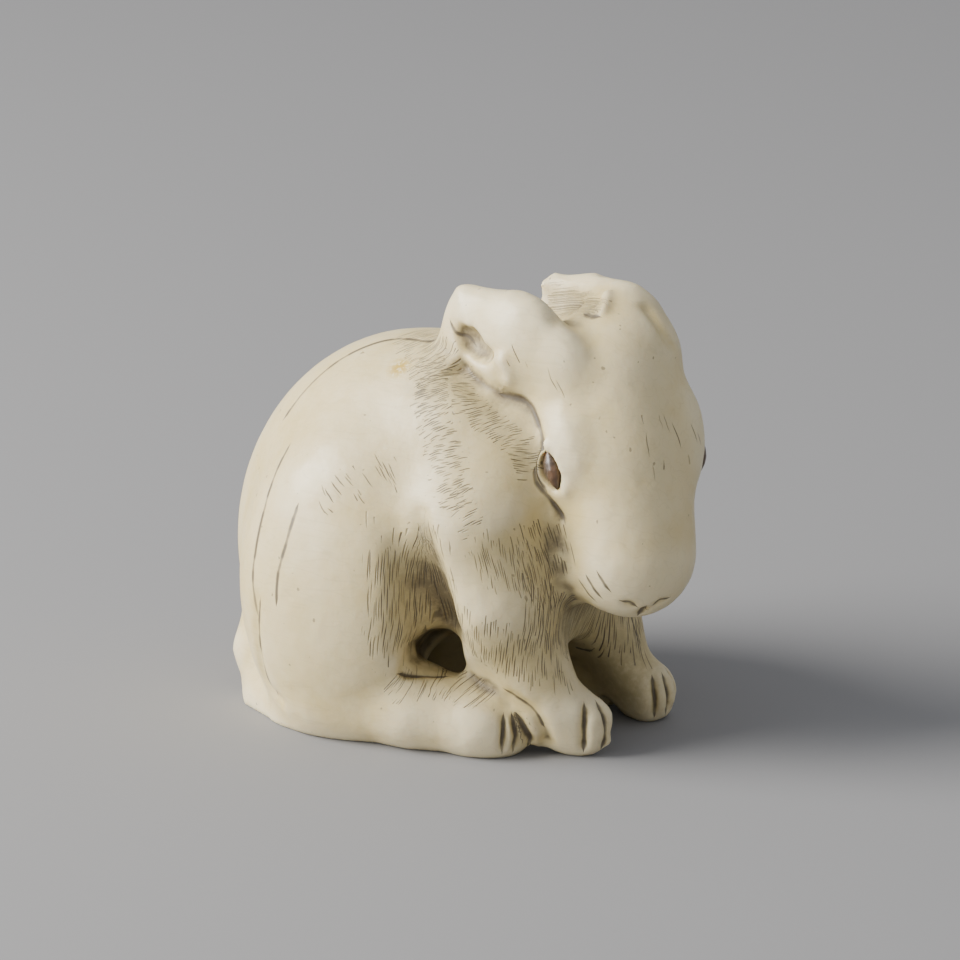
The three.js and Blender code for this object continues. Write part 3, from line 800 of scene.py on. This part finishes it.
# How stain and painted shade gather: the weights of small hollows, wide hollows and shelter, and the sums
# between which they fill a hollow, the shelter's share being painted shade; what the coat holds alone, in
# shelter and in wide hollows, its share in shelter being painted shade; and how much shelter alone darkens as
# painted shade.
HOLLOW_AND_SHADE_WEIGHTS, HOLLOW_AND_SHADE_SUMS = (7, 0.8, 1.5), (0.5, 1.3)
COAT_WEIGHTS = (0.4, 1.9, 1.4)
SHELTER_PAINTED_SHADE = (0.2, 0.5)
STAIN_FULL = 0.2  # the share of a stain's reach that is stained in full
# Polish is partly worn ivory and partly a painted highlight on the high spots.
POLISH_HEIGHTS = (0.02, 0.3)  # how far out a point stands where polish starts, and where it is full


def guide_hair(points, normals, surface, edges):
    """Coordinates for the engraved hair: along it, across it, and how dense it is."""
    maps = np.zeros((HAIR_MAPS, len(points), 3))
    owner = np.full((HAIR_MAPS, len(points)), -1)
    zones = [(zone, False) for zone in HAIR.values()] + [(zone, True) for zone in HANGING_HAIR.values()]
    for name in FAR_SIDE_HAIR:
        guide, reach, slant, *rest = HANGING_HAIR[name]
        zones.append(((mirrored(guide), reach, -slant, *rest), True))
    for number, ((guide, reach, slant, short, density, layer), hanging) in enumerate(zones):
        curve = surface.trace(guide, COARSE_STEP)
        near, along, aside, past, alike, _ = beside(points, normals, curve, reach, hanging)
        fade = smooth_step(np.abs(aside), reach, reach * HAIR_FULL) * smooth_step(past, *HAIR_END)
        value = density * (fade * smooth_step(alike, *HAIR_FACING))
        across = along - aside * math.tan(math.radians(slant)) + ZONE_APART * number
        chosen = value > maps[layer, near, 2]
        maps[layer, near[chosen]] = np.stack([aside * short, across, value], 1)[chosen]
        owner[layer, near[chosen]] = number
    # Strokes can't run from one zone into another, so none are left where two meet.
    for layer in range(HAIR_MAPS):
        border = owner[layer, edges[:, 0]] != owner[layer, edges[:, 1]]
        maps[layer, edges[border].ravel(), 2] = 0
    return maps


def cut_reach(cut):
    _, _, left, right = cut
    return CUT_WIDTHS * max(left + right)


def cut_size(cut, along, aside, length):
    """How deep a cut or hollow goes and how wide it is, for each point beside it."""
    _, deep, left, right = cut
    t = np.clip(along / length, 0, 1)
    return between(deep, t), np.where(aside > 0, between(left, t), between(right, t))


def press_in(points, normals, surface):
    """Presses the broad hollows into the surface, straight in from the side."""
    for hollow in HOLLOWS.values():
        curve = surface.trace(hollow[0])
        near, along, aside, past, alike, length = beside(points, normals, curve, cut_reach(hollow))
        deep, wide = cut_size(hollow, along, aside, length)
        fade = np.exp(-((aside / wide) ** 2) - (past / wide) ** 2) * smooth_step(alike, *HOLLOW_FACING)
        outward = curve[1].mean(0) * LEVEL
        outward /= np.linalg.norm(outward)
        points[near] -= outward * (deep * fade)[:, None]
    return points


def cut_depths(points, normals, surface):
    """How deep the tools went at each point, in millimetres."""
    depth = np.zeros(len(points))
    toes = [(guide, (TOE_DEPTH,) * 2, (TOE_WIDTH,) * 2, (TOE_WIDTH,) * 2) for guide in toe_guides()]
    for cut in (*CUTS.values(), *toes):
        curve = surface.trace(cut[0])
        near, along, aside, _, alike, length = beside(points, normals, curve, cut_reach(cut))
        deep, wide = cut_size(cut, along, aside, length)
        fade = smooth_step(np.minimum(along, length - along), *CUT_END) * smooth_step(alike, *CUT_FACING)
        value = deep * np.exp(-((aside / wide) ** 2)) * fade
        deeper = np.abs(value) > np.abs(depth[near])
        depth[near[deeper]] = value[deeper]
    return depth


def guide_lines(points, normals, surface):
    """Coordinates for the drawn lines: along each, across it, and its half width."""
    maps = np.zeros((LINE_MAPS, len(points), 3))
    maps[:, :, 1] = NO_LINE
    toes = [(guide, TOE_INK, number % LINE_MAPS) for number, guide in enumerate(toe_guides())]
    for guide, half, layer in (*LINES.values(), *toes):
        curve = surface.trace(guide)
        near, along, aside, past, alike, length = beside(points, normals, curve, LINE_REACH)
        fade = smooth_step(np.minimum(along, length - along), *LINE_END) * (alike > LINE_FACING)
        fade = fade * smooth_step(np.abs(aside), *LINE_EDGE)
        closer = np.abs(aside) + past < np.abs(maps[layer, near, 1])
        maps[layer, near[closer]] = np.stack([along, aside, half * fade], 1)[closer]
    return maps


def refine_near(piece, chosen):
    """Halves the spacing of the points where the finest cuts go."""
    mesh = piece.data
    select_only(piece)
    bpy.ops.object.mode_set(mode="EDIT")
    bpy.ops.mesh.select_mode(type="FACE")
    bpy.ops.mesh.select_all(action="DESELECT")
    bpy.ops.object.mode_set(mode="OBJECT")
    for polygon in mesh.polygons:
        polygon.select = all(chosen[n] for n in polygon.vertices)
    bpy.ops.object.mode_set(mode="EDIT")
    bpy.ops.mesh.subdivide(number_cuts=1, smoothness=0)
    bpy.ops.mesh.select_all(action="SELECT")
    bpy.ops.mesh.quads_convert_to_tris(quad_method="BEAUTY", ngon_method="BEAUTY")
    bpy.ops.object.mode_set(mode="OBJECT")


def hollows(points, normals, edges):
    """How far each point lies below its wider surroundings, in millimetres, at a small and at a wide scale."""
    fine = ease(points, edges, FINE_ROUNDS, HALF_WAY)
    wide = ease(fine, edges, WIDE_ROUNDS, HALF_WAY)
    return [((smoothed - points) * normals).sum(1) for smoothed in (fine, wide)]


def shelter(points, normals, surface):
    """How much of the sky over each point other parts of the carving hide, from 0 to 1."""
    golden = math.pi * (3 - math.sqrt(5))
    rays = []
    for k in range(SHELTER_RAYS):
        height = (k + 0.5) / SHELTER_RAYS
        ring = math.sqrt(1 - height**2)
        rays.append(Vector((ring * math.cos(k * golden), ring * math.sin(k * golden), height)))
    hidden = np.zeros(len(points))
    for n, (point, normal) in enumerate(zip(points, normals)):
        start = Vector(point) + SHELTER_START * Vector(normal)
        turn = Vector((0, 0, 1)).rotation_difference(Vector(normal))
        for ray in rays:
            distance = surface.tree.ray_cast(start, turn @ ray, SHELTER_FAR)[3]
            if distance is not None:
                hidden[n] += 1 - distance / SHELTER_FAR
    return hidden / SHELTER_RAYS


def wear_and_painted_light_map(points, normals, edges, surface, coat):
    """How far each point is a hollow, stained, and polished, each from 0 to 1.

    The hollow and the stain are partly painted shade where other parts of the carving hide the sky, and the
    polish is partly a painted highlight on the high spots.
    """
    fine, wide = hollows(points, normals, edges)
    hidden = ease(shelter(points, normals, surface), edges, SHELTER_ROUNDS)
    coat = ease(coat, edges, COAT_ROUNDS)
    small, broad, sheltered = HOLLOW_AND_SHADE_WEIGHTS
    # The hollow mask: stain where the surface dips, and painted shade where other parts of the carving hide the
    # sky.
    hollow = smooth_step(fine * small + wide * broad + hidden * sheltered, *HOLLOW_AND_SHADE_SUMS)
    # The stain mask is partly painted shade: the coat's stain grows in shelter, and shelter alone darkens it
    # too.
    alone, sheltered, broad = COAT_WEIGHTS
    stain_and_shade = coat * (alone + sheltered * hidden + broad * np.maximum(wide, 0))
    stain_and_shade = stain_and_shade + smooth_step(hidden, *SHELTER_PAINTED_SHADE)
    for middle, reach, strength in STAINS_AND_PAINTED_SHADE:
        stain_and_shade += strength * nearness(points, middle, reach, STAIN_FULL)
    # Paler high spots: partly worn polish, partly a painted highlight.
    polish_and_highlight = smooth_step(-wide, *POLISH_HEIGHTS) * (1 - coat)
    return np.stack([hollow, np.clip(stain_and_shade, 0, 1), polish_and_highlight], 1)


def store(mesh, name, values):
    layer = mesh.attributes.new(name, "FLOAT_VECTOR", "POINT")
    layer.data.foreach_set("vector", values.astype(np.float32).ravel())


def even_out(body):
    """Evens the remeshed surface and wears it down where handling has, and returns its points."""
    mesh = body.data
    edges = read_edges(mesh)
    points = relax(read_points(mesh), edges, RELAX_ROUNDS)
    worn = np.max([nearness(points, middle, reach, SOFT_FULL) for middle, reach in SOFTENED], axis=0)
    points = ease(points, edges, SOFT_ROUNDS, HALF_WAY * worn[:, None])
    points[:, 2] = np.maximum(points[:, 2], 0)
    write_points(mesh, points)
    return points


def carve_body(look):
    """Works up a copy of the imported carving: an even surface, its cuts, and the maps that its finish reads."""
    body = copy_of("carved_hare", "ivory_hare")
    remesh(body, look.pitch)
    mesh = body.data
    points = even_out(body)
    points = press_in(points, read_normals(mesh), Surface(body))
    write_points(mesh, points)

    # Guides are laid on the surface as it is before the cuts.
    surface = Surface(body)
    refine_near(body, np.abs(cut_depths(points, read_normals(mesh), surface)) > REFINED_DEPTH)
    edges = read_edges(mesh)
    points = relax(read_points(mesh), edges, REFINED_ROUNDS)
    write_points(mesh, points)
    normals = read_normals(mesh)
    hair = guide_hair(points, normals, surface, edges)
    lines = guide_lines(points, normals, surface)
    points = points - normals * cut_depths(points, normals, surface)[:, None]
    points = np.clip(points, *box_of("carved_hare"))
    write_points(mesh, points)

    store(mesh, "wear_and_painted_light", wear_and_painted_light_map(points, read_normals(mesh), edges, Surface(body), hair[:, :, 2].max(0)))
    for layer in range(HAIR_MAPS):
        store(mesh, f"hair_{layer}", hair[layer])
    for layer in range(LINE_MAPS):
        store(mesh, f"line_{layer}", lines[layer])
    return dress(body, ivory_material(look))


# ---- eyes


def eye_piece(node, look):
    """A leaf of horn with a domed face, in the place of a packed eye."""
    piece = copy_of(node, f"horn_{node}")
    remesh(piece, look.pitch)
    mesh = piece.data
    points = relax(read_points(mesh), read_edges(mesh), EYE_ROUNDS)
    write_points(mesh, np.clip(points, *box_of(node)))
    return dress(piece, horn_material(look))


# ---- stage

SWEEP_SIZE = 1.6
SWEEP_CUTS = 63
BEND_AT, BEND_RADIUS = 0.28, 0.3  # how far behind the carving the paper starts to curve up, and its curve
BEND_END = math.radians(80)
PAPER_SHADE = 0.97  # how dark the paper's clouds are
SENSOR = 36

# Each light: the way to it as right, up and back in the camera's view, its distance, its size and its colour.
KEY_LIGHT = ((-1.0, 0.55, 0.27), 0.5, 0.36, (1.0, 0.985, 0.96))
FILL_LIGHT = ((-0.95, -0.15, 0.45), 0.7, 0.4, (0.97, 0.985, 1.0))


def sweep_material(look):
    """Matt grey paper."""
    material = bpy.data.materials.new("Grey Paper")
    material.use_nodes = True
    shader = material.node_tree.nodes["Principled BSDF"]
    tree = Tree(material.node_tree)
    clouds = tree.noise(tree.node("ShaderNodeTexCoord").outputs["Object"], scale=9.0, detail=3.0)
    shaded = [PAPER_SHADE * c for c in look.paper]
    tree.feed(shader.inputs["Base Color"], tree.mix(clouds, opaque(look.paper), opaque(shaded)))
    shader.inputs["Roughness"].default_value = 0.85
    return material


def make_sweep(look):
    """A sheet of paper that lies flat under the carving and curves up behind it."""
    bpy.ops.object.select_all(action="DESELECT")
    bpy.ops.mesh.primitive_plane_add(size=SWEEP_SIZE, location=(0, 0, 0))
    sweep = bpy.context.active_object
    sweep.name = "paper_sweep"
    bpy.ops.object.mode_set(mode="EDIT")
    bpy.ops.mesh.subdivide(number_cuts=SWEEP_CUTS)
    bpy.ops.object.mode_set(mode="OBJECT")
    away = -VIEW_FROM.to_2d().normalized()
    for vertex in sweep.data.vertices:
        distance = vertex.co.to_2d().dot(away) - BEND_AT
        if distance > 0:
            turn = min(distance / BEND_RADIUS, BEND_END)
            straight = max(0, distance - BEND_RADIUS * turn)
            reach = BEND_RADIUS * math.sin(turn) + straight * math.cos(turn)
            vertex.co.xy += away * (reach - distance)
            vertex.co.z = BEND_RADIUS * (1 - math.cos(turn)) + straight * math.sin(turn)
    sweep.data.materials.append(sweep_material(look))
    bpy.ops.object.shade_smooth()


def in_view(right, up, back):
    """A direction given as the camera sees it."""
    across = Vector((0, 0, 1)).cross(VIEW_FROM).normalized()
    return across * right + VIEW_FROM.cross(across) * up + VIEW_FROM * back


def aim(name, data, direction, distance):
    """Places a light or a camera in a direction from the carving, turned to look at it."""
    place = LOOK_AT + direction.normalized() * distance
    aimed = bpy.data.objects.new(name, data)
    aimed.matrix_world = Matrix.Translation(place) @ direction.to_track_quat("Z", "Y").to_matrix().to_4x4()
    bpy.context.scene.collection.objects.link(aimed)
    return aimed


def soft_light(name, power, direction, distance, size, colour):
    light = bpy.data.lights.new(name, "AREA")
    light.shape = "DISK"
    light.size = size
    light.energy = power
    light.color = colour
    aim(name, light, in_view(*direction), distance)


def set_stage(look):
    make_sweep(look)
    world = bpy.data.worlds.new("Studio")
    bpy.context.scene.world = world
    world.use_nodes = True
    background = world.node_tree.nodes["Background"].inputs
    background["Color"].default_value = opaque(look.sky)
    background["Strength"].default_value = look.sky_strength
    soft_light("key", look.key_power, *KEY_LIGHT)
    soft_light("fill", look.fill_power, *FILL_LIGHT)
    camera = bpy.data.cameras.new("view")
    camera.lens = look.lens
    camera.sensor_width = SENSOR
    camera.clip_start = 0.01
    bpy.context.scene.camera = aim("view", camera, VIEW_FROM, look.distance)


# ---- add-on


def colour(name, default, description):
    limits = {"subtype": "COLOR", "size": 3, "min": 0, "max": 1}
    return FloatVectorProperty(name=name, description=description, default=default, **limits)


def number(name, default, description, **settings):
    return FloatProperty(name=name, description=description, default=default, **settings)


class IvoryLook(PropertyGroup):
    pitch: number("Pitch", 0.27 * MM, "Spacing of the points on the finished surface", unit="LENGTH")
    pale: colour("Pale", (0.68, 0.565, 0.31), "Ivory where it is clean")
    warm: colour("Warm", (0.60, 0.47, 0.205), "Ivory where it has yellowed")
    # Polished is partly a painted highlight; film and stain also paint shade where the carving hides its own
    # sky.
    polished: colour("Polished", (0.74, 0.645, 0.42), "Ivory where handling has polished it")
    film: colour("Film", (0.40, 0.325, 0.16), "The thin stain among the engraved hair")
    stain_and_shade: colour("Stain", (0.13, 0.095, 0.045), "Old stain in the hollows")
    # The ink also paints shade along the neck crease and in the ear holes.
    ink: colour("Ink", (0.08, 0.06, 0.035), "Stain rubbed into the engraved lines")
    spot: colour("Spot", (0.5, 0.33, 0.05), "The yellow spot on the back")
    ink_on_top: number("Ink on top", 0.9, "Ink left in hair on high ground", subtype="FACTOR")
    translucence: number("Translucence", 0.25, "Light that the ivory scatters", subtype="FACTOR")


class HornLook(PropertyGroup):
    pitch: number("Pitch", 0.09 * MM, "Spacing of the points on an eye", unit="LENGTH")
    dark: colour("Dark", (0.045, 0.028, 0.016), "The body of the horn")
    amber: colour("Amber", (0.13, 0.065, 0.03), "Horn that lets light through")
    pale: colour("Pale", (0.16, 0.125, 0.09), "Threads in the horn")


class StageLook(PropertyGroup):
    paper: colour("Paper", (0.237, 0.234, 0.234), "The sweep's colour")
    sky: colour("Sky", (0.9, 0.93, 1.0), "Light that fills the studio")
    sky_strength: number("Sky strength", 0.64, "Strength of the studio's fill")
    key_power: number("Key", 7.0, "Power of the key light", unit="POWER")
    fill_power: number("Fill", 3.6, "Power of the fill light", unit="POWER")
    lens: number("Lens", 244.6, "Focal length in millimetres")
    distance: number("Distance", 0.45, "From the camera to the carving", unit="LENGTH")


class NETSUKE_OT_carve_hare(Operator):
    """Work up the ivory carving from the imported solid"""

    bl_idname = "netsuke.carve_hare"
    bl_label = "Carve Hare"

    def execute(self, context):
        body = carve_body(context.scene.netsuke_ivory)
        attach(body, "root")
        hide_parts("carved_hare")
        return {"FINISHED"}


class NETSUKE_OT_inlay_eyes(Operator):
    """Polish the two horn eyes and let them into the head"""

    bl_idname = "netsuke.inlay_eyes"
    bl_label = "Inlay Eyes"

    def execute(self, context):
        for node in ("right_eye", "left_eye"):
            eye = eye_piece(node, context.scene.netsuke_horn)
            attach(eye, "root")
            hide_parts(node)
        return {"FINISHED"}


class NETSUKE_OT_set_stage(Operator):
    """Lay the paper sweep and set the lights and the camera"""

    bl_idname = "netsuke.set_stage"
    bl_label = "Set Stage"

    def execute(self, context):
        set_stage(context.scene.netsuke_stage)
        return {"FINISHED"}


OPERATORS = (NETSUKE_OT_carve_hare, NETSUKE_OT_inlay_eyes, NETSUKE_OT_set_stage)
LOOKS = {"netsuke_ivory": IvoryLook, "netsuke_horn": HornLook, "netsuke_stage": StageLook}


class NETSUKE_PT_panel(Panel):
    bl_label = "Netsuke Hare"
    bl_space_type = "VIEW_3D"
    bl_region_type = "UI"
    bl_category = "Netsuke"

    def draw(self, context):
        for operator, (prop, look) in zip(OPERATORS, LOOKS.items()):
            box = self.layout.box()
            for name in look.__annotations__:
                box.prop(getattr(context.scene, prop), name)
            box.operator(operator.bl_idname)


CLASSES = (*LOOKS.values(), *OPERATORS, NETSUKE_PT_panel)


def register():
    """Adds the classes and the looks to Blender."""
    for cls in CLASSES:
        bpy.utils.register_class(cls)
    for prop, look in LOOKS.items():
        setattr(bpy.types.Scene, prop, PointerProperty(type=look))


def unregister():
    """Takes out what register adds."""
    for prop in LOOKS:
        delattr(bpy.types.Scene, prop)
    for cls in reversed(CLASSES):
        bpy.utils.unregister_class(cls)


def main():
    """Builds the scene."""
    register()
    bpy.ops.netsuke.set_stage()
    bpy.ops.netsuke.carve_hare()
    bpy.ops.netsuke.inlay_eyes()


if __name__ == "__main__":
    main()
